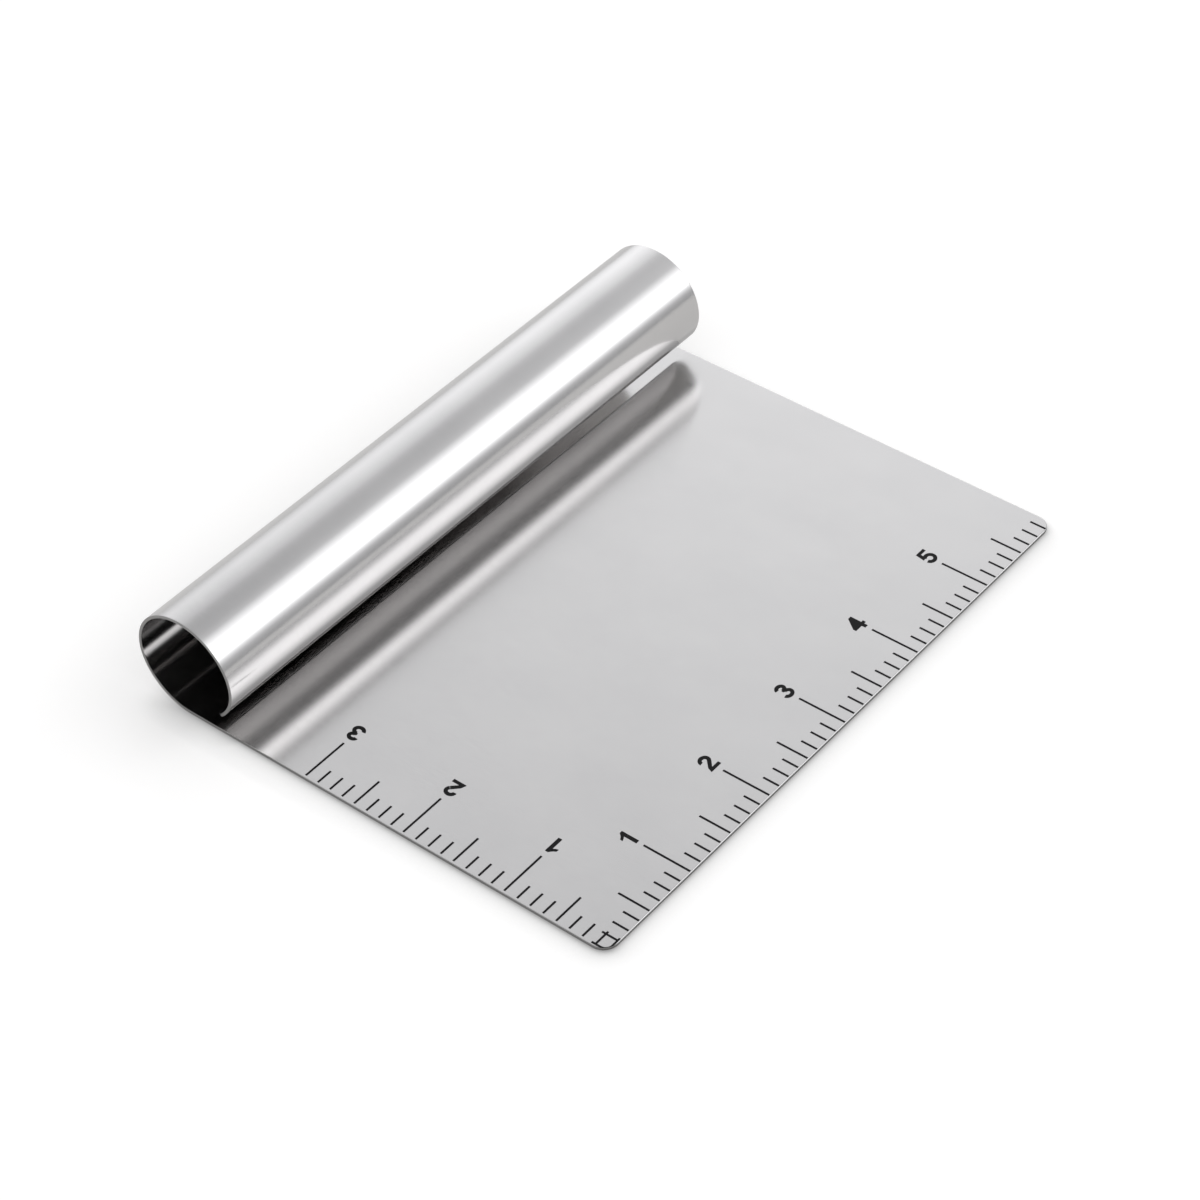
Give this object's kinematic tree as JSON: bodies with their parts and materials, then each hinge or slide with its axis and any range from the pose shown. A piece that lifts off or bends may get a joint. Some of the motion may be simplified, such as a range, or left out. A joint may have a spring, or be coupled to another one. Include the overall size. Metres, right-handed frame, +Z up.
{
  "type": "dough scraper",
  "caption": "Dough scraper formed from one steel sheet: flat rectangular blade with printed ruler scales along the cutting edge and one side, rolled into an open tubular handle at the back.",
  "frame": {"origin": "on the surface that the tool lies on, under the centre of its bounding box", "axes": "+X along the cutting edge to the right of someone facing the scales, +Y from the cutting edge back to the handle, +Z up out of the blade's printed face"},
  "size_m": [0.1524, 0.1194, 0.0252],
  "materials": {
    "satin_steel": "satin stainless steel with a fine brushed grain",
    "dark_print": "matt dark print, one thin layer"
  },
  "bodies": {
    "root": {"blade_and_rolled_handle": "satin_steel", "edge_inch_marks": "dark_print", "edge_half_inch_marks": "dark_print", "edge_eighth_inch_marks": "dark_print", "side_inch_marks": "dark_print", "side_half_inch_marks": "dark_print", "side_eighth_inch_marks": "dark_print", "zero_mark": "dark_print"}
  },
  "joints": []
}
